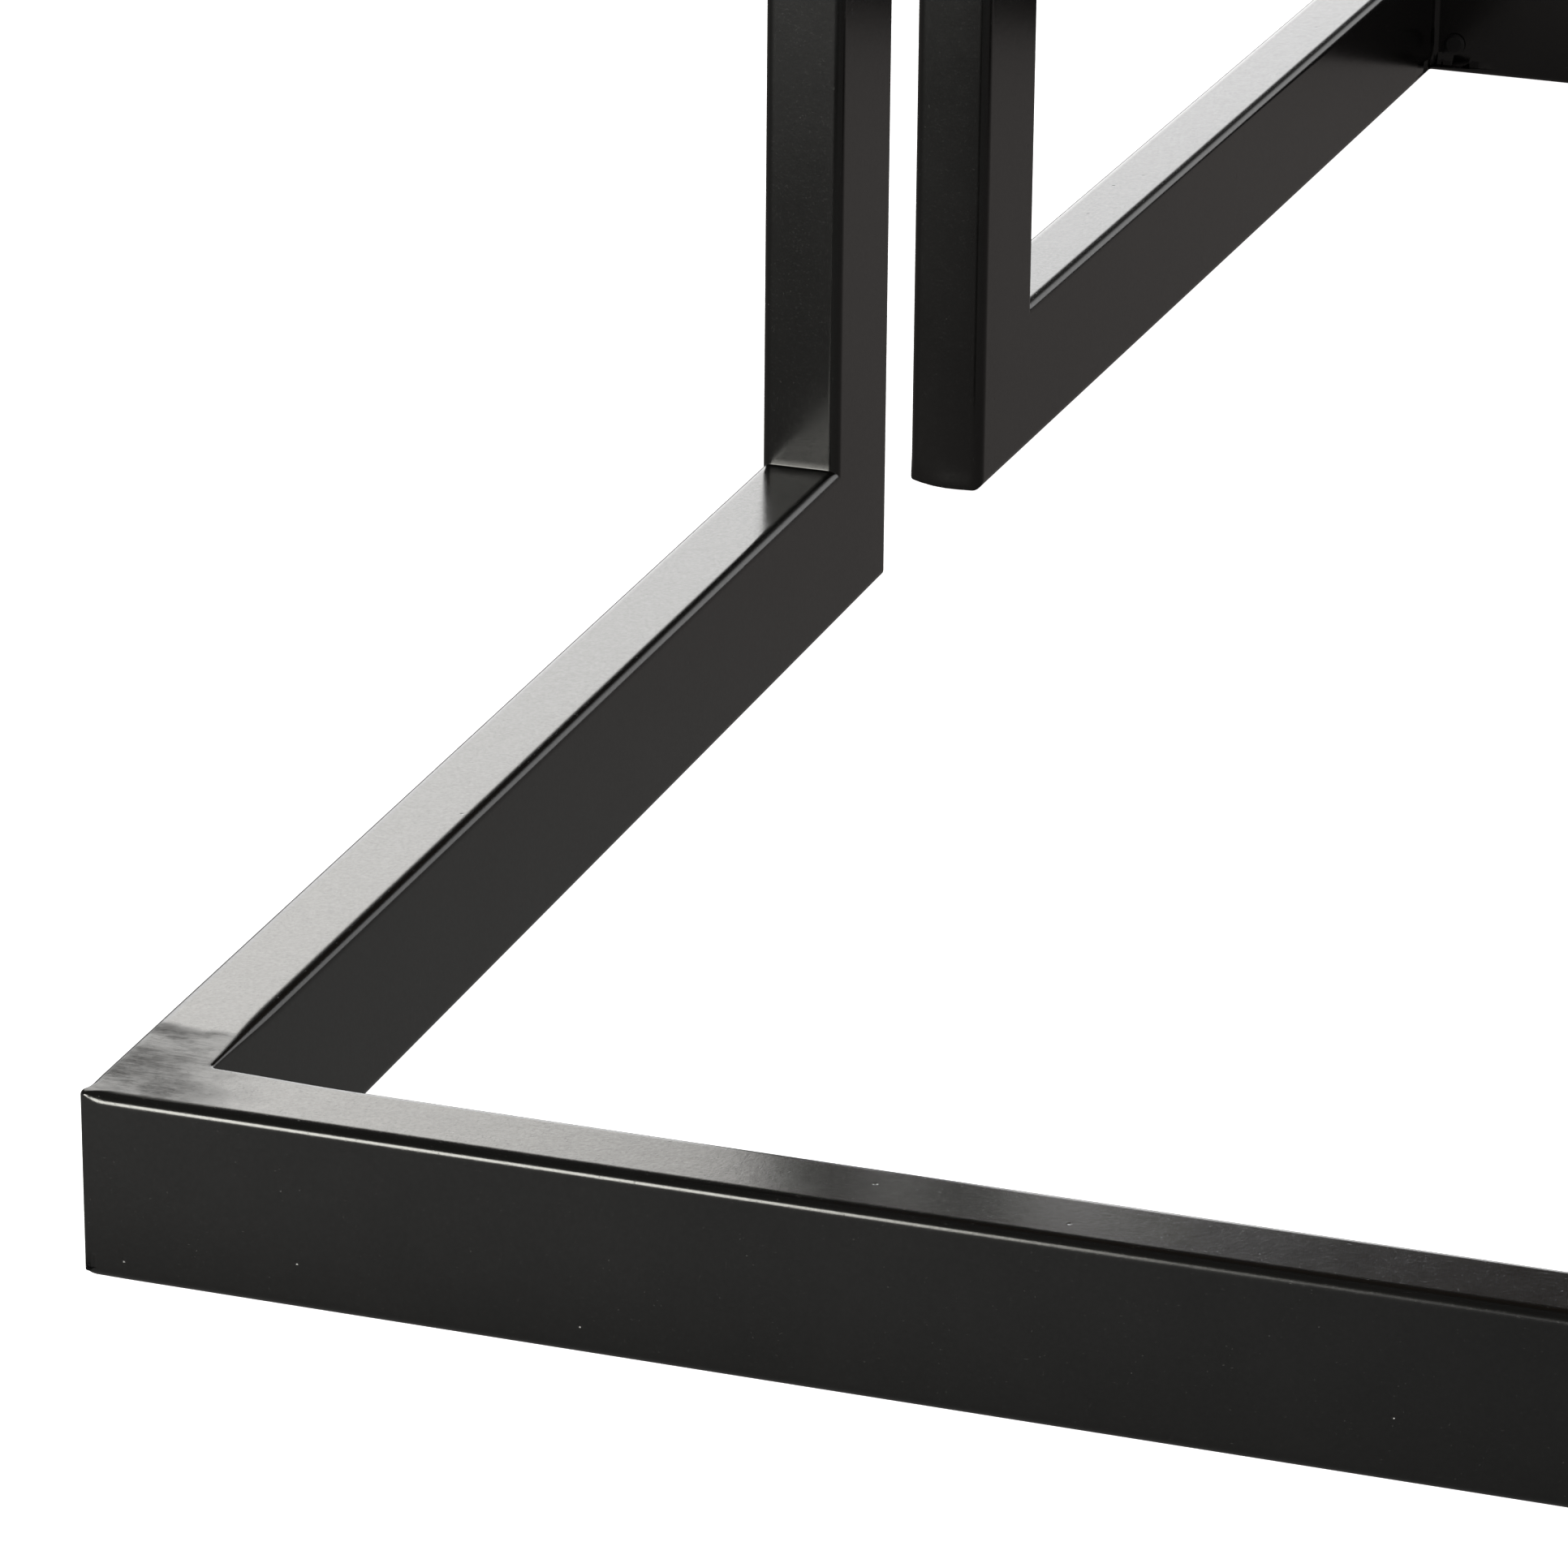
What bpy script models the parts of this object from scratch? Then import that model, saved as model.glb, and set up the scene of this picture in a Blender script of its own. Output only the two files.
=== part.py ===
"""Two nesting tables: a large C-shaped table and a small one that pushes in under it from behind.

Both have a welded frame of one rectangular steel tube, a wooden top held by screws through tabs, plastic
floor glides and plugs in the vent holes. Units are metres, +X is to the right, +Y goes to the back and
+Z is up. The origin is at the middle of both tables' common outline, on the floor.
"""
import math

import bmesh
import bpy
from mathutils import Matrix, Vector

MM = 0.001

# The rectangular tube of every rail and upright
TUBE_DEEP = 40 * MM
TUBE_THIN = 20 * MM
TUBE_WALL = 1.5 * MM
TUBE_CORNER = 2.5 * MM
CORNER_STEPS = 4

# Between two pieces that touch
GAP = 0.3 * MM

# The large table, and the space that it leaves round the small one
LARGE_WIDTH = 650 * MM
LARGE_DEPTH = 450 * MM
LARGE_HEIGHT = 500 * MM
SMALL_DEPTH = 465 * MM
SIDE_ROOM = 105 * MM
HEAD_ROOM = 12 * MM

# Where the small table stands, pulled out: its front left corner, and its turn about the vertical
SMALL_INSET = 3 * MM
SMALL_BEHIND = 71.5 * MM
SMALL_TURN = math.radians(-1.4)

# The wooden tops
TOP_THICKNESS = 18 * MM
TOP_CORNER = 2 * MM
TOP_EDGE = 1.2 * MM

# Tabs under the top, their screws and the pilot holes
TAB_LENGTH = 30 * MM
TAB_REACH = 22 * MM
TAB_THICKNESS = 3 * MM
TAB_INSET = 90 * MM
SCREW_SHANK = 4.5 * MM
SCREW_BITE = 12 * MM
SCREW_HEAD = 9 * MM
SCREW_HEAD_HEIGHT = 2.6 * MM
SCREW_HEAD_FLAT = 7.2 * MM
SCREW_POINT = 1.4 * MM
SCREW_RECESS = 3.2 * MM
SCREW_RECESS_DEPTH = 1.4 * MM
SCREW_PLAY = 0.5 * MM
PILOT_PLAY = 0.3 * MM

# Glides under the frame's four corners
GLIDE_DIAMETER = 12 * MM
GLIDE_HEIGHT = 0.8 * MM
GLIDE_CHAMFER = 0.3 * MM

# Vent holes in the floor cross rail's inner face, and the plugs in them
VENT_DIAMETER = 5 * MM
VENT_FROM_CORNER = 7 * MM
VENT_HEIGHT = 9.5 * MM
PLUG_FLANGE = 6.8 * MM
PLUG_FLANGE_HEIGHT = 0.8 * MM
PLUG_FLANGE_FLAT = 5 * MM
PLUG_DEPTH = 4 * MM

ROUND_SEGMENTS = 24
SMOOTH_BELOW = math.radians(40)

# Two directions whose cosine is above this are parallel, and two points this near are one
PARALLEL = 0.99
MERGE = 0.001 * MM

# Worked out from the sizes above
FRAME_BASE = GLIDE_HEIGHT + GAP
SMALL_WIDTH = LARGE_WIDTH - 2 * TUBE_THIN - 2 * SIDE_ROOM
SMALL_HEIGHT = LARGE_HEIGHT - TOP_THICKNESS - GAP - TUBE_DEEP - HEAD_ROOM
TOTAL_DEPTH = LARGE_DEPTH + SMALL_BEHIND + SMALL_DEPTH * math.cos(SMALL_TURN)

# name: colour, metallic, roughness
FINISHES = {
    "black_lacquer": ((0.018, 0.018, 0.017, 1), 0.0, 0.32),
    "oiled_wood": ((0.36, 0.21, 0.10, 1), 0.0, 0.5),
    "zinc_plate": ((0.62, 0.62, 0.60, 1), 1.0, 0.35),
    "black_plastic": ((0.02, 0.02, 0.02, 1), 0.0, 0.55),
}


def clear_scene():
    for item in list(bpy.data.objects):
        bpy.data.objects.remove(item, do_unlink=True)


def make_materials():
    made = {}
    for name, (colour, metallic, roughness) in FINISHES.items():
        material = bpy.data.materials.new(name)
        material.use_nodes = True
        shader = material.node_tree.nodes["Principled BSDF"]
        shader.inputs["Base Color"].default_value = colour
        shader.inputs["Metallic"].default_value = metallic
        shader.inputs["Roughness"].default_value = roughness
        made[name] = material
    return made


def new_collection(name):
    made = bpy.data.collections.new(name)
    bpy.context.scene.collection.children.link(made)
    return made


def box_mesh(low, high):
    """A box between two corners, as a bmesh."""
    low = Vector(low)
    high = Vector(high)
    size = high - low
    bm = bmesh.new()
    place = Matrix.Translation((low + high) / 2) @ Matrix.Diagonal((*size, 1))
    bmesh.ops.create_cube(bm, size=1, matrix=place)
    return bm


def round_edges_along(bm, axis, radius, steps):
    """Rounds the box edges that run along one axis."""
    edges = []
    for edge in bm.edges:
        run = edge.verts[1].co - edge.verts[0].co
        if abs(run[axis]) > PARALLEL * run.length:
            edges.append(edge)
    bmesh.ops.bevel(bm, geom=edges, offset=radius, segments=steps, profile=0.5,
                    affect="EDGES", material=-1)


def tube_mesh(low, high, axis):
    """A straight tube with open ends that runs along one axis between two corners."""
    bm = box_mesh(low, high)
    round_edges_along(bm, axis, TUBE_CORNER, CORNER_STEPS)
    ends = [face for face in bm.faces if abs(face.normal[axis]) > PARALLEL]
    bmesh.ops.delete(bm, geom=ends, context="FACES_ONLY")
    bmesh.ops.solidify(bm, geom=list(bm.faces), thickness=TUBE_WALL)
    bmesh.ops.recalc_face_normals(bm, faces=list(bm.faces))
    return bm


def mitre(bm, axis, end, corner, slope_axis, slope):
    """Slides one end's vertices along the tube onto a plane that leans over another axis.

    corner is a point that the plane passes through. slope is the run along the tube for each
    metre along slope_axis.
    """
    ends = [v.co[axis] for v in bm.verts]
    place = min(ends) if end == "low" else max(ends)
    for vert in bm.verts:
        if abs(vert.co[axis] - place) < TUBE_WALL / 2:
            vert.co[axis] = corner[axis] + slope * (vert.co[slope_axis] - corner[slope_axis])


def stand(centre, axis):
    """Stands a shape that was made along +Z at centre, along +Z or +Y."""
    turn = Matrix.Identity(4)
    if axis == 1:
        turn = Matrix.Rotation(math.radians(-90), 4, "X")
    return Matrix.Translation(centre) @ turn


def disc_mesh(centre, radius, height, axis=2):
    """A cylinder that starts at centre and runs along an axis."""
    bm = bmesh.new()
    place = stand(centre, axis) @ Matrix.Translation((0, 0, height / 2))
    bmesh.ops.create_cone(bm, cap_ends=True, segments=ROUND_SEGMENTS, radius1=radius,
                          radius2=radius, depth=height, matrix=place)
    return bm


def turned_mesh(profile, centre, axis=2):
    """A solid of revolution. profile is (radius, height) from the axis out and back to it."""
    bm = bmesh.new()
    points = [bm.verts.new((radius, 0, height)) for radius, height in profile]
    edges = [bm.edges.new(pair) for pair in zip(points, points[1:])]
    bmesh.ops.spin(bm, geom=points + edges, cent=(0, 0, 0), axis=(0, 0, 1),
                   angle=math.radians(360), steps=ROUND_SEGMENTS, use_merge=True)
    bmesh.ops.remove_doubles(bm, verts=list(bm.verts), dist=MERGE)
    bmesh.ops.recalc_face_normals(bm, faces=list(bm.faces))
    bmesh.ops.transform(bm, matrix=stand(centre, axis), verts=list(bm.verts))
    return bm


class Table:
    """One table, built in its own frame: the floor cross rail is at y = 0, the uprights at y = depth."""

    def __init__(self, name, width, depth, height, place, sides, parts, cutters, materials):
        self.name = name
        self.width = width
        self.depth = depth
        self.height = height
        self.place = place
        self.sides = sides
        self.parts = parts
        self.cutters = cutters
        self.materials = materials
        self.frame_top = height - TOP_THICKNESS - GAP
        self.body = bpy.data.objects.new(name + "_table", None)
        self.body.matrix_world = place
        parts.objects.link(self.body)

    def add(self, bm, node, finish):
        """Turns a bmesh into a named piece of this table."""
        mesh = bpy.data.meshes.new(node)
        bm.to_mesh(mesh)
        bm.free()
        mesh.materials.append(self.materials[finish])
        mesh.shade_smooth()
        mesh.set_sharp_from_angle(angle=SMOOTH_BELOW)
        piece = bpy.data.objects.new(self.name + "_" + node, mesh)
        self.parts.objects.link(piece)
        piece.parent = self.body
        return piece

    def cut(self, piece, bm, label):
        """Cuts a closed bmesh out of a piece."""
        mesh = bpy.data.meshes.new(label)
        bm.to_mesh(mesh)
        bm.free()
        cutter = bpy.data.objects.new(self.name + "_" + label, mesh)
        self.cutters.objects.link(cutter)
        cutter.parent = self.body
        cutter.hide_render = True
        cutter.display_type = "WIRE"
        boolean = piece.modifiers.new(label, "BOOLEAN")
        boolean.operation = "DIFFERENCE"
        boolean.solver = "EXACT"
        boolean.object = cutter

    def side_x(self, side):
        """The low and high X of the tube on one side, and which way inwards is."""
        if side == 0:
            return 0, TUBE_THIN, 1
        return self.width - TUBE_THIN, self.width, -1

    def cross_rail(self, node, base):
        """A rail across the open end of the C, mitred in plan at both ends."""
        bm = tube_mesh((0, 0, base), (self.width, TUBE_THIN, base + TUBE_DEEP), 0)
        mitre(bm, 0, "low", (GAP / 2, 0, 0), 1, 1)
        mitre(bm, 0, "high", (self.width - GAP / 2, 0, 0), 1, -1)
        return self.add(bm, node, "black_lacquer")

    def side_rail(self, node, side, base, upright_above):
        """A rail along one side, mitred in plan at the open end and upright at the other."""
        low_x, high_x, inward = self.side_x(side)
        outer_x = low_x if side == 0 else high_x
        top = base + TUBE_DEEP
        bm = tube_mesh((low_x, 0, base), (high_x, self.depth, top), 1)
        mitre(bm, 1, "low", (outer_x, GAP / 2, 0), 0, inward)
        outer_z = base if upright_above else top
        lean = -1 if upright_above else 1
        mitre(bm, 1, "high", (0, self.depth - GAP / 2, outer_z), 2, lean)
        return self.add(bm, node, "black_lacquer")

    def upright(self, node, side):
        """A post that is mitred to the floor side rail and to the top side rail."""
        low_x, high_x, _ = self.side_x(side)
        front = self.depth - TUBE_DEEP
        bm = tube_mesh((low_x, front, FRAME_BASE), (high_x, self.depth, self.frame_top), 2)
        mitre(bm, 2, "low", (0, self.depth, FRAME_BASE + GAP / 2), 1, -1)
        mitre(bm, 2, "high", (0, self.depth, self.frame_top - GAP / 2), 1, 1)
        return self.add(bm, node, "black_lacquer")

    def cross_rail_between_uprights(self, node, base):
        """A rail with square ends between the two sides, flush with the uprights' backs."""
        low = (TUBE_THIN + GAP, self.depth - TUBE_THIN, base)
        high = (self.width - TUBE_THIN - GAP, self.depth, base + TUBE_DEEP)
        return self.add(tube_mesh(low, high, 0), node, "black_lacquer")

    def vent_plug(self, rail, node, x):
        """A plug in a vent hole of the floor cross rail's inner face."""
        wall_face = TUBE_THIN
        height = FRAME_BASE + VENT_HEIGHT
        hole_start = wall_face - 2 * TUBE_WALL
        self.cut(rail, disc_mesh((x, hole_start, height), VENT_DIAMETER / 2, 4 * TUBE_WALL, 1),
                 node + "_hole")
        stem = VENT_DIAMETER / 2 - GAP
        flange = PLUG_FLANGE / 2
        face = GAP + PLUG_FLANGE_HEIGHT
        profile = [(0, -PLUG_DEPTH), (stem, -PLUG_DEPTH), (stem, GAP), (flange, GAP),
                   (flange, GAP + PLUG_FLANGE_HEIGHT / 2), (PLUG_FLANGE_FLAT / 2, face), (0, face)]
        self.add(turned_mesh(profile, (x, wall_face, height), 1), node, "black_plastic")

    def glide(self, node, x, y):
        radius = GLIDE_DIAMETER / 2
        profile = [(0, 0), (radius - GLIDE_CHAMFER, 0), (radius, GLIDE_CHAMFER),
                   (radius, GLIDE_HEIGHT), (0, GLIDE_HEIGHT)]
        self.add(turned_mesh(profile, (x, y, 0)), node, "black_plastic")

    def fixing(self, top, number, side, y):
        """A drilled tab on a top side rail, with its screw up into the wooden top."""
        low_x, high_x, inward = self.side_x(side)
        inner_x = high_x if side == 0 else low_x
        start = inner_x + inward * GAP
        reach = inner_x + inward * TAB_REACH
        tab_top = self.frame_top
        tab_bottom = tab_top - TAB_THICKNESS
        bm = box_mesh((min(start, reach), y - TAB_LENGTH / 2, tab_bottom),
                      (max(start, reach), y + TAB_LENGTH / 2, tab_top))
        tab = self.add(bm, "fixing_tab_%d" % number, "black_lacquer")
        hole_x = inner_x + inward * (TAB_REACH / 2 + GAP)
        self.cut(tab, disc_mesh((hole_x, y, tab_bottom - TAB_THICKNESS),
                                (SCREW_SHANK + SCREW_PLAY) / 2, 3 * TAB_THICKNESS),
                 "tab_hole_%d" % number)
        self.cut(top, disc_mesh((hole_x, y, tab_bottom), (SCREW_SHANK + PILOT_PLAY) / 2,
                                TAB_THICKNESS + GAP + SCREW_BITE + GAP),
                 "pilot_hole_%d" % number)
        shank = SCREW_SHANK / 2
        head = SCREW_HEAD / 2
        seat = -GAP
        under = seat - SCREW_HEAD_HEIGHT
        recess_floor = under + SCREW_RECESS_DEPTH
        tip = TAB_THICKNESS + GAP + SCREW_BITE
        profile = [(0, recess_floor), (SCREW_RECESS / 2, recess_floor), (SCREW_RECESS / 2, under),
                   (SCREW_HEAD_FLAT / 2, under), (head, seat - SCREW_HEAD_HEIGHT / 2), (head, seat),
                   (shank, seat), (shank, tip - shank), (SCREW_POINT / 2, tip), (0, tip)]
        self.add(turned_mesh(profile, (hole_x, y, tab_bottom)), "top_screw_%d" % number,
                 "zinc_plate")

    def table_top(self):
        bm = box_mesh((0, 0, self.height - TOP_THICKNESS), (self.width, self.depth, self.height))
        round_edges_along(bm, 2, TOP_CORNER, CORNER_STEPS)
        rims = [edge for edge in bm.edges
                if abs(edge.verts[0].co.z - edge.verts[1].co.z) < MM / 10]
        bmesh.ops.bevel(bm, geom=rims, offset=TOP_EDGE, segments=2, profile=0.5,
                        affect="EDGES", material=-1)
        return self.add(bm, "table_top", "oiled_wood")

    def build(self):
        top_base = self.frame_top - TUBE_DEEP
        rail = self.cross_rail("floor_cross_rail", FRAME_BASE)
        self.cross_rail("top_cross_rail_end", top_base)
        self.cross_rail_between_uprights("top_cross_rail_upright", top_base)
        for side, label in enumerate(self.sides):
            self.side_rail("floor_side_rail_" + label, side, FRAME_BASE, upright_above=True)
            self.side_rail("top_side_rail_" + label, side, top_base, upright_above=False)
            self.upright("upright_" + label, side)
            vent_x = TUBE_THIN + VENT_FROM_CORNER
            self.vent_plug(rail, "vent_plug_" + label, vent_x if side == 0 else self.width - vent_x)
        top = self.table_top()
        number = 0
        for y in (TAB_INSET, self.depth - TAB_INSET):
            for side in (0, 1):
                number += 1
                self.fixing(top, number, side, y)
        number = 0
        foot = TUBE_THIN / 2
        for y in (foot, self.depth - TUBE_DEEP / 2):
            for x in (foot, self.width - foot):
                number += 1
                self.glide("floor_glide_%d" % number, x, y)


def main():
    clear_scene()
    parts = new_collection("nesting_tables")
    cutters = new_collection("cutters")
    materials = make_materials()
    to_origin = Matrix.Translation((-LARGE_WIDTH / 2, -TOTAL_DEPTH / 2, 0))
    large = Table("large", LARGE_WIDTH, LARGE_DEPTH, LARGE_HEIGHT, to_origin,
                  ("left", "right"), parts, cutters, materials)
    large.build()

    # The small table faces the other way, so its uprights come next to the large table's back. The
    # half turn is about its own middle, and its small turn is about its front left corner.
    half_turn = (Matrix.Translation((SMALL_WIDTH, SMALL_DEPTH, 0))
                 @ Matrix.Rotation(math.radians(180), 4, "Z"))
    corner = Matrix.Translation((SMALL_INSET, LARGE_DEPTH + SMALL_BEHIND, 0))
    place = to_origin @ corner @ Matrix.Rotation(SMALL_TURN, 4, "Z") @ half_turn
    small = Table("small", SMALL_WIDTH, SMALL_DEPTH, SMALL_HEIGHT, place,
                  ("right", "left"), parts, cutters, materials)
    small.build()


main()
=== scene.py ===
"""Two nesting tables: lacquered frames of rectangular tube with wooden tops."""
import math
from collections import namedtuple

import bmesh
import bpy
from mathutils import Matrix, Vector


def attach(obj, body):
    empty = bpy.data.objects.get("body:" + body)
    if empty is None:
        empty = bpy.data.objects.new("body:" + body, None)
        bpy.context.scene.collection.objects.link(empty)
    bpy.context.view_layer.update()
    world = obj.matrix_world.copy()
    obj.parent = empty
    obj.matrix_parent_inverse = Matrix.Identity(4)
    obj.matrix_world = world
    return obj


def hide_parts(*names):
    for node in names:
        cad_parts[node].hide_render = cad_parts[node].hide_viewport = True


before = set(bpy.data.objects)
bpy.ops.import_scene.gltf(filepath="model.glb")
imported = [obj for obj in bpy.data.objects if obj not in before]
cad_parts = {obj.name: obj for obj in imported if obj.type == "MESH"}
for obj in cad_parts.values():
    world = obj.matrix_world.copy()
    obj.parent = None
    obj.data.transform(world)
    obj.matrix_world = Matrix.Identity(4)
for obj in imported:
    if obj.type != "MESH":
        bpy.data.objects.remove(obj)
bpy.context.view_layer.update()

MM = 0.001

# How far each table is turned about the vertical
TABLE_TURNS = {"large": 0.0, "small": math.radians(180 - 1.4)}

# The tube's long edges, rounded by the roll and ground sharper at the welds
EDGE_RADIUS = 2.4 * MM
EDGE_STEPS = 6
EDGE_SUPPORT = 0.5 * MM
SIDE_POINTS = 5
WELD_EDGE_RADIUS = 0.9 * MM
OUTER_TAPER = 4.5 * MM      # how far the sharper edge reaches along the outside of a corner
INNER_TAPER = 33 * MM       # and along its inside

# A mitred corner of the frame, flat or at a heel: its rounding outside, its fillet inside
JOINT_STEPS = 6
CORNER_ROUNDING = 1.2 * MM
CORNER_FILLET = 1.8 * MM
HEEL_ROUNDING = 0.25 * MM
HEEL_FILLET = 0.3 * MM
CORNER_EASE = 0.15 * MM     # ground off the outer faces at a flat corner
EASE_REACH = 10 * MM

# Where the skin has its rings, measured from each mitre
STATIONS = [d * MM for d in (2, 3, 4, 5, 7, 10, 13, 17, 22, 27, 33, 60)]

# A heel's weld: a low bead, ground off towards the outer side
HEEL_GROUND = 0.8 * MM
HEEL_GROUND_SHARE = 0.6
HEEL_GROUND_POWER = 2.2
HEEL_BULGE = 0.35 * MM
HEEL_REACH = 6 * MM

# How far from a flat corner its top is ground, along the side rail and along the cross rail
GROUND_REACH = 60 * MM
GROUND_DEPTH = 36 * MM
GROUND_WIDTH = 34 * MM
GROUND_BLEND = 5 * MM
GROUND_WAVE = 6 * MM
GROUND_FRINGE = 10 * MM

# The rail between the uprights, with its weld at each end
BAR_WELD = 2.2 * MM
BAR_WELD_STEPS = 4
MERGE = 0.001 * MM

# The glued staves of a top
STAVE_WIDTH = 46 * MM
STAVE_LENGTH = 420 * MM
STAVE_SEAM = 0.15 * MM
STAVE_OFFSET = 0.37
STAVE_TONES = ((0.0, 0.2, 0.1, 1), (1.0, 0.9, 0.6, 1))
STAVE_SHIFT = (1.3, 2.1, 0.7)

# Relief of the finishes
LACQUER_PEEL = 0.012 * MM
LACQUER_SPECK = 0.03 * MM
LACQUER_PIT = 0.12 * MM
WOOD_FIBRE = 0.04 * MM
PLASTIC_GRAIN = 0.02 * MM

# Colours of the finishes
LACQUER_DEEP = (0.0036, 0.0036, 0.0034, 1)
LACQUER_HAZY = (0.0056, 0.0054, 0.0051, 1)
WOOD_DARK_RING = (0.18, 0.102, 0.050, 1)
WOOD_PALE_RING = (0.28, 0.178, 0.096, 1)
WOOD_GRAIN = (0.125, 0.066, 0.030, 1)
WOOD_PALE_STAVE = (0.33, 0.220, 0.125, 1)
WOOD_PORE = (0.10, 0.05, 0.022, 1)
WOOD_SEAM = (0.08, 0.04, 0.018, 1)
ZINC_DULL = (0.50, 0.50, 0.47, 1)
ZINC_BRIGHT = (0.70, 0.70, 0.67, 1)
PLASTIC_DARK = (0.005, 0.005, 0.005, 1)
PLASTIC_PALE = (0.008, 0.008, 0.008, 1)

# The studio
CAMERA_PLACE = (209.24 * MM, -1644.14 * MM, 596.13 * MM)
CAMERA_YAW = math.radians(18.670)
CAMERA_PITCH = math.radians(21.198)
CAMERA_ROLL = math.radians(0.5365)
CAMERA_LENS = 161.59
STAGE_SIZE = 24
FLOOR_WHITE = (0.8, 0.8, 0.8, 1)
FLOOR_GLOW = (1, 1, 1, 1)
CARD_HEIGHT = 0.05 * MM
CARD_BLACK = (0.0, 0.0, 0.0, 1)
# Painted shade: the floor card glows dimmer under the tables, where they shade the floor
CARD_SHADED_UNDER = (0.178, 0.175, 0.169, 1)
CARD_SHADED_UNDER_REAR = (0.166, 0.154, 0.148, 1)
CARD_BEHIND = (0.03, 0.03, 0.03, 1)
# Painted light: the floor card glows brighter at the front left, as if lit there by the front softbox
CARD_LIT_FRONT_LEFT = (0.45, 0.445, 0.435, 1)
CARD_FRONT_RIGHT = (0.21, 0.21, 0.21, 1)
CARD_FAR = (0.04, 0.04, 0.04, 1)
SKY_WHITE = (1, 1, 1, 1)
SKY_CREAM = (1, 0.975, 0.92, 1)
SOFTBOX_CREAM = (1.0, 0.985, 0.91)


# Node trees

class Value:
    """A number, colour or vector that varies over a surface. Arithmetic adds Math nodes."""

    def __init__(self, tree, socket):
        self.tree = tree
        self.socket = socket

    def math(self, operation, first, second):
        return self.tree.node("ShaderNodeMath", {"operation": operation}, {0: first, 1: second})

    def __add__(self, other):
        return self.math("ADD", self, other)

    def __sub__(self, other):
        return self.math("SUBTRACT", self, other)

    def __rsub__(self, other):
        return self.math("SUBTRACT", other, self)

    def __mul__(self, other):
        return self.math("MULTIPLY", self, other)

    __radd__ = __add__
    __rmul__ = __mul__

    def larger(self, other):
        return self.math("MAXIMUM", self, other)

    def above(self, edge, blend):
        """0 below an edge and 1 above it, over a blend of that width."""
        return self.between(edge - blend / 2, edge + blend / 2)

    def between(self, low, high, low_value=0.0, high_value=1.0):
        """Goes smoothly from one value to another as this one goes from low to high."""
        return self.tree.node("ShaderNodeMapRange", {"interpolation_type": "SMOOTHSTEP"},
                              {"Value": self, "From Min": low, "From Max": high,
                               "To Min": low_value, "To Max": high_value})

    def axis(self, name):
        return self.tree.node("ShaderNodeSeparateXYZ", {}, {"Vector": self}, name)


class Tree:
    """A material's or the world's node tree."""

    def __init__(self, owner):
        owner.use_nodes = True
        self.owner = owner
        self.nodes = owner.node_tree.nodes
        self.links = owner.node_tree.links

    def node(self, kind, settings=None, inputs=None, output=0):
        """Adds a node with its settings and inputs, and gives one of its outputs."""
        made = self.nodes.new(kind)
        for name, value in (settings or {}).items():
            setattr(made, name, value)
        for name, value in (inputs or {}).items():
            self.feed(made.inputs[name], value)
        return Value(self, made.outputs[output])

    def feed(self, socket, value):
        if isinstance(value, Value):
            self.links.new(value.socket, socket)
        else:
            socket.default_value = value

    def noise(self, vector, scale, detail=2.0, roughness=0.5, distortion=0.0):
        return self.node("ShaderNodeTexNoise", {}, {"Vector": vector, "Scale": scale,
                                                    "Detail": detail, "Roughness": roughness,
                                                    "Distortion": distortion})

    def stretched(self, vector, scale, turn=(0, 0, 0)):
        return self.node("ShaderNodeMapping", {},
                         {"Vector": vector, "Scale": scale, "Rotation": turn})

    def mix(self, factor, first, second):
        """A colour between two colours."""
        return self.node("ShaderNodeMix", {"data_type": "RGBA"},
                         {0: factor, 6: first, 7: second}, 2)

    def bump(self, height, depth, under=None):
        """A relief of that depth, on top of another one if there is one."""
        inputs = {"Height": height, "Distance": depth}
        if under:
            inputs["Normal"] = under
        return self.node("ShaderNodeBump", {}, inputs)


class Finish(Tree):
    """A material with a Principled shader, on the piece's own coordinates."""

    def __init__(self, name):
        super().__init__(bpy.data.materials.new(name))
        self.shader = self.nodes["Principled BSDF"]
        self.place = self.node("ShaderNodeTexCoord", output="Object")

    def set(self, inputs):
        """Fills the shader's sockets, and gives the finished material."""
        for name, value in inputs.items():
            self.feed(self.shader.inputs[name], value)
        return self.owner

    def attribute(self, name):
        return self.node("ShaderNodeAttribute", {"attribute_name": name}, output="Fac")


# Finishes

def ground_weld(finish, wave):
    """1 on the upper faces round a flat corner, where the weld is ground flush, 0 elsewhere."""
    behind = finish.attribute("weld_behind") + wave * GROUND_WAVE
    beside = finish.attribute("weld_beside") + wave * GROUND_FRINGE
    facing_up = finish.node("ShaderNodeNewGeometry", output="Normal").axis("Z").between(0.9, 0.99)
    return (behind.above(GROUND_REACH - GROUND_DEPTH + GROUND_WAVE / 2, GROUND_BLEND)
            * beside.between(GROUND_REACH - GROUND_WIDTH, GROUND_REACH)
            * facing_up)


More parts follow.
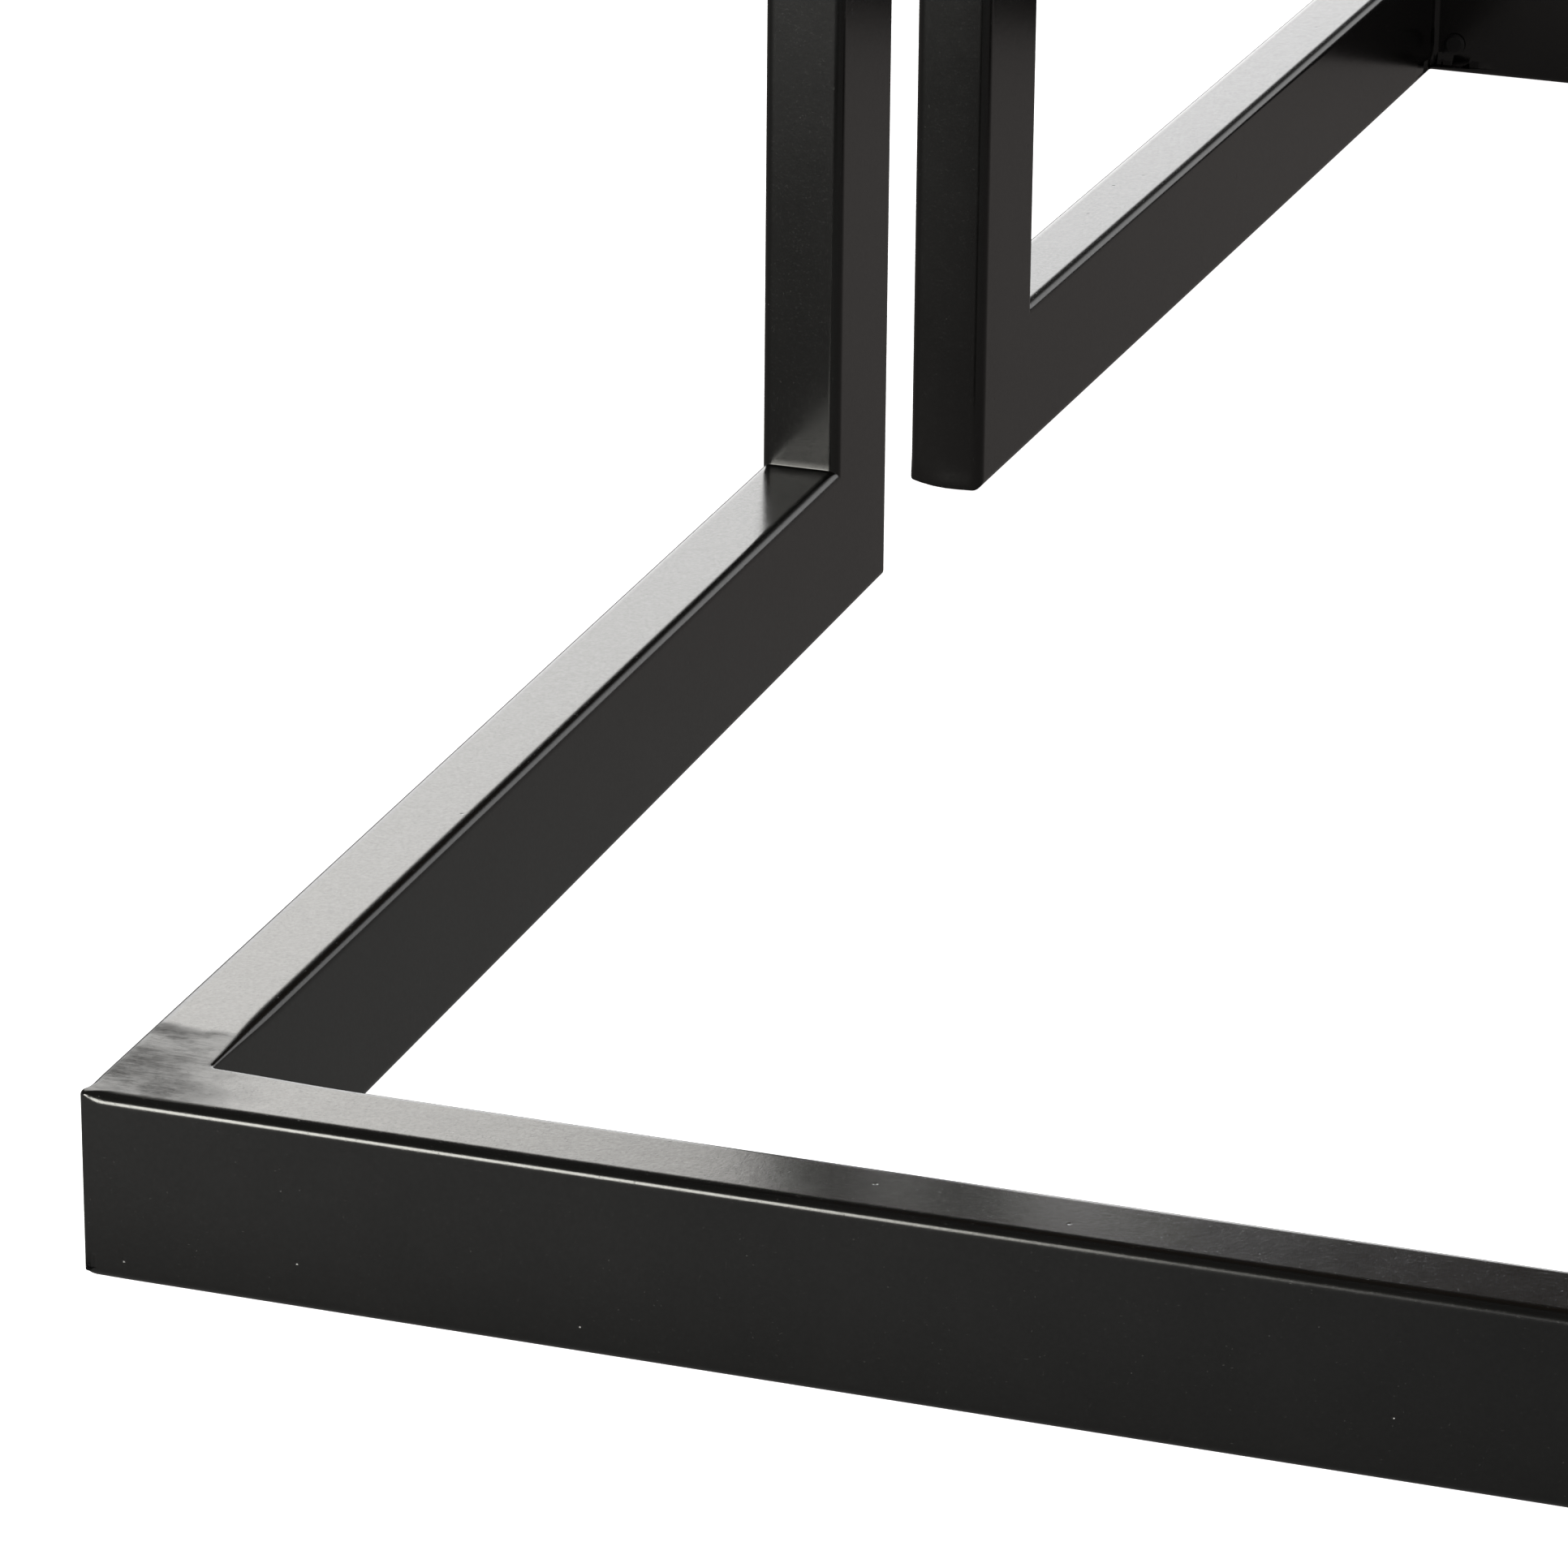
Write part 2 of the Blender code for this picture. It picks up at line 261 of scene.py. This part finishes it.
def black_lacquer():
    """Satin black lacquer on steel, sprayed thick, over ground welds."""
    finish = Finish("black_lacquer")
    place = finish.place
    cloud = finish.noise(place, 45, 4.0, 0.6)
    mottle = finish.noise(place, 260, 3.0, 0.6)
    peel = finish.noise(place, 900)
    fine = finish.noise(finish.stretched(place, (1, 0.12, 1)), 2600, 2.0, 0.6)
    grain = finish.noise(place, 1250, 3.0, 0.7).between(0.30, 0.70)
    grit = finish.noise(place, 1700, 2.0, 0.6).between(0.58, 0.74)
    specks = finish.noise(place, 1500, 1.0).between(0.74, 0.78)
    pits = finish.node("ShaderNodeTexVoronoi", {}, {"Vector": place, "Scale": 66.0}, "Distance")
    ground = ground_weld(finish, finish.noise(place, 130))
    blotch = finish.noise(finish.stretched(place, (0.6, 1, 1)), 110, 3.0, 0.6).between(0.35, 0.68)
    strokes = finish.noise(finish.stretched(place, (0.09, 1, 1), (0, 0, 0.25)), 2300, 3.0, 0.6)
    height = peel * 0.6 + mottle * 1.2 + fine * 0.12 - grit * 0.4 + ground * strokes * 1.6
    shape = finish.bump(height, LACQUER_PEEL)
    shape = finish.bump(specks, LACQUER_SPECK, under=shape)
    shape = finish.bump(pits.between(0.015, 0.042), LACQUER_PIT, under=shape)
    return finish.set({
        "Base Color": finish.mix(cloud, LACQUER_DEEP, LACQUER_HAZY),
        "Roughness": mottle * 0.04 + cloud * 0.05 + grit * 0.07
        + ground * (blotch * 0.30 + 0.19) + 0.14,
        "Coat Weight": grain * 0.15 + cloud * 0.10 + ground * strokes.between(0.42, 0.60) * 0.16,
        "Coat Roughness": 0.2,
        "Normal": shape,
        "IOR": 1.5,
    })


def staves(finish, inputs, output):
    """A pattern of the glued staves, which run along the top."""
    return finish.node("ShaderNodeTexBrick", {"offset": STAVE_OFFSET, "offset_frequency": 2},
                       {"Vector": finish.place, "Scale": 1.0, "Brick Width": STAVE_LENGTH,
                        "Row Height": STAVE_WIDTH, **inputs}, output)


def oiled_wood():
    """Glued staves of oiled wood, each cut from its own place in the grain."""
    finish = Finish("oiled_wood")
    stave = staves(finish, {"Color1": STAVE_TONES[0], "Color2": STAVE_TONES[1],
                            "Mortar": (0.5, 0.5, 0.5, 1), "Mortar Size": 0.0}, "Color")
    seam = staves(finish, {"Mortar Size": STAVE_SEAM, "Mortar Smooth": 0.3}, "Fac")
    shifted = finish.node("ShaderNodeVectorMath", {"operation": "MULTIPLY_ADD"},
                          {0: stave, 1: STAVE_SHIFT, 2: finish.place})
    rings = finish.noise(finish.stretched(shifted, (1.0, 14.0, 14.0)), 7, 3.0, 0.5, 1.0)
    grain = finish.noise(finish.stretched(shifted, (3.0, 110.0, 110.0)), 3, 5.0, 0.62, 0.6)
    fibre = finish.noise(finish.stretched(shifted, (14.0, 900.0, 900.0)), 1.0, 3.0, 0.6)
    pores = finish.noise(finish.stretched(shifted, (40.0, 1400.0, 1400.0)), 1.0, 1.0)
    pores = pores.between(0.62, 0.7)
    colour = finish.mix(rings.between(0.3, 0.7), WOOD_DARK_RING, WOOD_PALE_RING)
    colour = finish.mix(grain * 0.55, colour, WOOD_GRAIN)
    colour = finish.mix(stave.axis("X") * 0.45, colour, WOOD_PALE_STAVE)
    colour = finish.mix(pores * 0.5, colour, WOOD_PORE)
    colour = finish.mix(seam * 0.6, colour, WOOD_SEAM)
    return finish.set({
        "Base Color": colour,
        "Roughness": fibre * 0.12 + rings * 0.06 + 0.38,
        "Specular IOR Level": 0.3,
        "Normal": finish.bump(fibre - pores * 0.6 - seam, WOOD_FIBRE),
    })


def zinc_plate():
    finish = Finish("zinc_plate")
    cloud = finish.noise(finish.place, 700, 3.0, 0.6)
    return finish.set({"Base Color": finish.mix(cloud, ZINC_DULL, ZINC_BRIGHT),
                       "Metallic": 1.0, "Roughness": cloud * 0.2 + 0.25})


def black_plastic():
    finish = Finish("black_plastic")
    grain = finish.noise(finish.place, 2500)
    cloud = finish.noise(finish.place, 300)
    return finish.set({"Base Color": finish.mix(cloud, PLASTIC_DARK, PLASTIC_PALE),
                       "Roughness": cloud * 0.15 + 0.42,
                       "Normal": finish.bump(grain, PLASTIC_GRAIN)})


# Frames

# A corner of the C: its place, the ways through the tube's thin and deep sides, and whether it is
# a heel, where an upright meets a side rail, or a flat corner, where a cross rail does
Corner = namedtuple("Corner", "point thin deep heel")


def round_off(before, after, share):
    """From a sharp corner to a quarter circle of radius 1 that rounds it off, share of the way."""
    angle = math.radians(90) * share
    return before * (math.sin(angle) - 1) + after * (1 - math.cos(angle))


def blend_up(share):
    """Goes smoothly from 0 to 1."""
    share = min(max(share, 0.0), 1.0)
    return share * share * (3 - 2 * share)


def first_ring(bm, outline):
    """A closed ring of edges with a point for each of the outline's, to be placed later."""
    ring = [bm.verts.new((*place, 0)) for place, pull in outline]
    return ring, [bm.edges.new((ring[n - 1], vert)) for n, vert in enumerate(ring)]


def next_ring(bm, ring, edges):
    """Extrudes a ring of edges, and gives the new ring in the same order."""
    made = bmesh.ops.extrude_edge_only(bm, edges=edges)["geom"]
    new = {item for item in made if isinstance(item, bmesh.types.BMVert)}
    follower = {}
    for vert in ring:
        for edge in vert.link_edges:
            other = edge.other_vert(vert)
            if other in new:
                follower[vert] = other
    ring = [follower[vert] for vert in ring]
    chosen = set(ring)
    edges = [item for item in made if isinstance(item, bmesh.types.BMEdge)
             and item.verts[0] in chosen and item.verts[1] in chosen]
    return ring, edges


class Table:
    """A table as its nodes lie. In its own frame the floor cross rail is at y = 0."""

    def __init__(self, name, materials):
        self.name = name
        self.materials = materials
        self.place = Matrix.Rotation(TABLE_TURNS[name], 4, "Z")
        low, high = self.box("upright_left", "floor_cross_rail", "upright_right")
        self.place = self.place @ Matrix.Translation((low.x, low.y, 0))
        self.width = high.x - low.x
        self.depth = high.y - low.y
        rail_low, rail_high = self.box("floor_cross_rail")
        self.thin = rail_high.y - rail_low.y
        self.deep = rail_high.z - rail_low.z
        self.base = rail_low.z
        self.top = self.box("top_cross_rail_end")[1].z

    def box(self, *nodes):
        """Lowest and highest corner of some nodes in the table's own frame."""
        turned_back = self.place.inverted()
        points = [turned_back @ vert.co for node in nodes
                  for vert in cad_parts[self.name + "_" + node].data.vertices]
        return (Vector(map(min, zip(*points))), Vector(map(max, zip(*points))))

    def outline(self):
        """The tube's section as (place, pull): a point lies at place + edge radius * pull.

        The first coordinate runs through the thin side from its outer face, the second through the
        deep side from the face that is outside on the C.
        """
        corners = [Vector((0, 0)), Vector((self.thin, 0)), Vector((self.thin, self.deep)),
                   Vector((0, self.deep))]
        points = []
        for number, corner in enumerate(corners):
            before = (corner - corners[number - 1]).normalized()
            side = corners[(number + 1) % len(corners)] - corner
            after = side.normalized()
            points.append((corner - before * EDGE_SUPPORT, -before))
            for step in range(EDGE_STEPS + 1):
                points.append((corner, round_off(before, after, step / EDGE_STEPS)))
            points.append((corner + after * EDGE_SUPPORT, after))
            for step in range(1, SIDE_POINTS + 1):
                points.append((corner + side * step / (SIDE_POINTS + 1), Vector((0, 0))))
        return points

    def corners(self):
        """The eight corners of the C, in order round it."""
        width, depth, base, top = self.width, self.depth, self.base, self.top
        right, back, up = Vector((1, 0, 0)), Vector((0, 1, 0)), Vector((0, 0, 1))
        return [
            Corner(Vector((0, 0, base)), right + back, up, False),
            Corner(Vector((width, 0, base)), back - right, up, False),
            Corner(Vector((width, depth, base)), -right, up - back, True),
            Corner(Vector((width, depth, top)), -right, -up - back, True),
            Corner(Vector((width, 0, top)), back - right, -up, False),
            Corner(Vector((0, 0, top)), right + back, -up, False),
            Corner(Vector((0, depth, top)), right, -up - back, True),
            Corner(Vector((0, depth, base)), right, up - back, True),
        ]

    def section_point(self, corner, outline_point, slide):
        """Where a point of the outline lies in the section, and how far across the bend it is."""
        place, pull = outline_point
        taper = None
        if corner.heel and place.x == 0 and place.y == 0:
            taper = HEEL_REACH
        elif not corner.heel and place.y > 0:
            taper = OUTER_TAPER + (INNER_TAPER - OUTER_TAPER) * place.x / self.thin
        radius = EDGE_RADIUS
        if taper:
            radius -= (EDGE_RADIUS - WELD_EDGE_RADIUS) * (1 - blend_up(abs(slide) / taper))
        point = place + pull * radius
        if not corner.heel:
            point.x += CORNER_EASE * (1 - blend_up(max(abs(slide), place.x) / EASE_REACH))
        elif place.y == 0:
            share = point.x / self.thin
            ground = (max(HEEL_GROUND_SHARE - share, 0) / HEEL_GROUND_SHARE) ** HEEL_GROUND_POWER
            bulge = 4 * share * (1 - share)
            near = 1 - blend_up(abs(slide) / HEEL_REACH)
            point.y += near * (HEEL_GROUND * ground - HEEL_BULGE * bulge)
        return point, (point.y / self.deep if corner.heel else point.x / self.thin)

    def frame_point(self, corner, before, after, outline_point, slide, share):
        """A point of the frame's skin: slide along a tube from its mitre, or share round the bend."""
        point, across = self.section_point(corner, outline_point, slide)
        at = corner.point + corner.thin * point.x + corner.deep * point.y
        if slide < 0:
            return at + before * slide
        if slide > 0:
            return at + after * slide
        outer, inner = ((HEEL_ROUNDING, HEEL_FILLET) if corner.heel
                        else (CORNER_ROUNDING, CORNER_FILLET))
        return at + round_off(before, after, share) * (outer + (inner - outer) * across)

    def welded_frame(self):
        """The C in one skin: a ring of the tube's outline is drawn round its eight corners.

        At the flat corners, weld_behind and weld_beside say how far inside GROUND_REACH a point is.
        """
        bm = bmesh.new()
        behind = bm.verts.layers.float.new("weld_behind")
        beside = bm.verts.layers.float.new("weld_beside")
        outline = self.outline()
        corners = self.corners()
        stations = ([(-d, 0) for d in reversed(STATIONS)]
                    + [(0, step / JOINT_STEPS) for step in range(JOINT_STEPS + 1)]
                    + [(d, 0) for d in STATIONS])
        ring, edges = first_ring(bm, outline)
        first = list(edges)
        started = False
        for number, corner in enumerate(corners):
            before = (corner.point - corners[number - 1].point).normalized()
            after = (corners[(number + 1) % len(corners)].point - corner.point).normalized()
            for slide, share in stations:
                if started:
                    ring, edges = next_ring(bm, ring, edges)
                started = True
                for vert, outline_point in zip(ring, outline):
                    vert.co = self.frame_point(corner, before, after, outline_point, slide, share)
                    if not corner.heel:
                        way = vert.co - corner.point
                        vert[behind] = max(GROUND_REACH - abs(way.y), 0.0)
                        vert[beside] = max(GROUND_REACH - abs(way.x), 0.0)
        bmesh.ops.bridge_loops(bm, edges=edges + first)
        return bm

    def upright_bar(self):
        """The rail between the two sides at the uprights, with a weld round each end."""
        bm = bmesh.new()
        outline = self.outline()
        ring, edges = first_ring(bm, outline)
        low = self.thin
        high = self.width - self.thin
        weld = []
        for step in range(BAR_WELD_STEPS + 1):
            bend = round_off(Vector((-1, 0)), Vector((0, 1)), 1 - step / BAR_WELD_STEPS)
            weld.append((bend.x * BAR_WELD, bend.y * BAR_WELD))
        stations = [(low + run, flare) for run, flare in weld]
        stations += [(high - run, flare) for run, flare in reversed(weld)]
        for number, (x, flare) in enumerate(stations):
            if number:
                ring, edges = next_ring(bm, ring, edges)
            for vert, (place, pull) in zip(ring, outline):
                point = place + pull * EDGE_RADIUS
                inward = point.x * (1 + flare / self.thin)
                down = point.y * (1 + flare / self.deep)
                vert.co = (x, self.depth - inward, self.top - down)
        return bm

    def add(self, bm, piece_name, slot, *nodes):
        """Turns a bmesh in the table's own frame into a piece that stands for some nodes."""
        bmesh.ops.remove_doubles(bm, verts=list(bm.verts), dist=MERGE)
        bmesh.ops.transform(bm, matrix=self.place, verts=list(bm.verts))
        bmesh.ops.recalc_face_normals(bm, faces=list(bm.faces))
        mesh = bpy.data.meshes.new(piece_name)
        bm.to_mesh(mesh)
        bm.free()
        mesh.shade_smooth()
        mesh.materials.append(self.materials[slot])
        piece = bpy.data.objects.new(self.name + "_" + piece_name, mesh)
        bpy.context.scene.collection.objects.link(piece)
        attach(piece, self.name + "_table")
        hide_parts(*[self.name + "_" + node for node in nodes])

    def build(self):
        self.add(self.welded_frame(), "welded_frame", "black_lacquer", "floor_cross_rail",
                 "floor_side_rail_left", "floor_side_rail_right", "upright_left",
                 "upright_right", "top_side_rail_left", "top_side_rail_right",
                 "top_cross_rail_end")
        self.add(self.upright_bar(), "upright_bar", "black_lacquer", "top_cross_rail_upright")


# The studio

def make_camera():
    data = bpy.data.cameras.new("camera")
    data.lens = CAMERA_LENS
    data.sensor_width = 36
    data.clip_start = 0.05
    data.clip_end = 100
    camera = bpy.data.objects.new("camera", data)
    camera.matrix_world = (Matrix.Translation(CAMERA_PLACE)
                           @ Matrix.Rotation(CAMERA_YAW, 4, "Z")
                           @ Matrix.Rotation(math.radians(90) - CAMERA_PITCH, 4, "X")
                           @ Matrix.Rotation(CAMERA_ROLL, 4, "Z"))
    bpy.context.scene.collection.objects.link(camera)
    bpy.context.scene.camera = camera


def softbox(name, place, aim, width, height, power):
    data = bpy.data.lights.new(name, "AREA")
    data.shape = "RECTANGLE"
    data.size = width
    data.size_y = height
    data.energy = power
    lamp = bpy.data.objects.new(name, data)
    way = Vector(aim) - Vector(place)
    lamp.matrix_world = Matrix.Translation(place) @ way.to_track_quat("-Z", "Y").to_matrix().to_4x4()
    lamp.visible_camera = False
    bpy.context.scene.collection.objects.link(lamp)
    return lamp


def make_lights():
    """A low cream softbox in front on the left, and a soft light above that isn't mirrored."""
    front = softbox("front_softbox", place=(-0.85, -1.83, 0.28), aim=(-0.25, -0.49, 0.28),
                    width=0.62, height=0.54, power=18)
    front.data.color = SOFTBOX_CREAM
    overhead = softbox("overhead_softbox", place=(0.0, -0.2, 2.2), aim=(0, 0, 0),
                       width=2.0, height=2.0, power=60)
    overhead.visible_glossy = False


def stage_plane(name, height, finish, base, tone):
    """A large level plane with a dull base colour, shining in a tone."""
    bm = bmesh.new()
    bmesh.ops.create_grid(bm, x_segments=1, y_segments=1, size=STAGE_SIZE / 2,
                          matrix=Matrix.Translation((0, 0, height)))
    mesh = bpy.data.meshes.new(name)
    bm.to_mesh(mesh)
    bm.free()
    mesh.materials.append(finish.set({
        "Base Color": base, "Roughness": 0.9, "Specular IOR Level": 0.0,
        "Emission Color": tone, "Emission Strength": 1.0}))
    plane = bpy.data.objects.new(name, mesh)
    bpy.context.scene.collection.objects.link(plane)
    return plane


def make_floor():
    """A plain white floor, which neither lights the tables nor is mirrored in them."""
    plane = stage_plane("studio_floor", 0, Finish("studio_floor"), FLOOR_WHITE, FLOOR_GLOW)
    plane.visible_glossy = False
    plane.visible_diffuse = False


def make_floor_card():
    """What is mirrored in place of the floor: a glowing card, grey near the tables, with painted
    shade under them and painted light at the front left, dark farther off.
    """
    card = Finish("floor_card")
    across, back = card.place.axis("X"), card.place.axis("Y")
    away = card.node("ShaderNodeVectorMath", {"operation": "LENGTH"}, {0: card.place}, "Value")
    # Painted shade: dimmer tones under the tables, where they shade the floor
    under = card.mix(back.between(-0.35, 0.05), CARD_SHADED_UNDER, CARD_SHADED_UNDER_REAR)
    under = card.mix(back.between(0.35, 0.95), under, CARD_BEHIND)
    # Painted light: brighter towards the front left, where the front softbox would light the floor
    front = card.mix(across.between(-0.4, 0.1), CARD_LIT_FRONT_LEFT, CARD_FRONT_RIGHT)
    tone = card.mix(back.between(-0.56, -0.46), front, under)
    tone = card.mix(away.between(0.8, 1.6), tone, CARD_FAR)
    plane = stage_plane("floor_card", CARD_HEIGHT, card, CARD_BLACK, tone)
    plane.visible_camera = False
    plane.visible_shadow = False


def make_world():
    """Bright backdrop behind on the left, its top sloping down to the right; the rest is dim."""
    world = bpy.data.worlds.new("studio")
    bpy.context.scene.world = world
    tree = Tree(world)
    way = tree.node("ShaderNodeTexCoord", output="Generated")
    right, back, up = way.axis("X"), way.axis("Y"), way.axis("Z")
    slope = up + (right + 0.25) * 1.3
    behind = back.between(0.1, 0.5) * right.between(-0.64, -0.48)
    glow = (1 - slope.above(0.36, 0.06)) * behind * up.between(0.30, 0.40, 2.7, 4.4)
    beside = (1 - right.above(-0.2, 0.08)) * behind * (1 - up.above(0.5, 0.1))
    right_part = right.between(0.08, 0.3) * behind * (1 - up.above(0.36, 0.16)) * 1.2
    rest = (1 - up.above(0.2, 0.2)) * 0.6
    strength = glow.larger(rest).larger(beside).larger(right_part) * up.above(0.0, 0.04) + 0.07
    background = world.node_tree.nodes["Background"]
    tree.feed(background.inputs["Strength"], strength)
    tint = tree.mix(up.between(0.33, 0.42), SKY_WHITE, SKY_CREAM)
    tree.feed(background.inputs["Color"], tint)


def main():
    bpy.context.scene.view_settings.view_transform = "Standard"
    materials = {"black_lacquer": black_lacquer(), "oiled_wood": oiled_wood(),
                 "zinc_plate": zinc_plate(), "black_plastic": black_plastic()}
    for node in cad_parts.values():
        for slot in node.material_slots:
            slot.material = materials[slot.material.name.split(".")[0]]
    for name in TABLE_TURNS:
        Table(name, materials).build()
    make_camera()
    make_lights()
    make_floor()
    make_floor_card()
    make_world()


main()
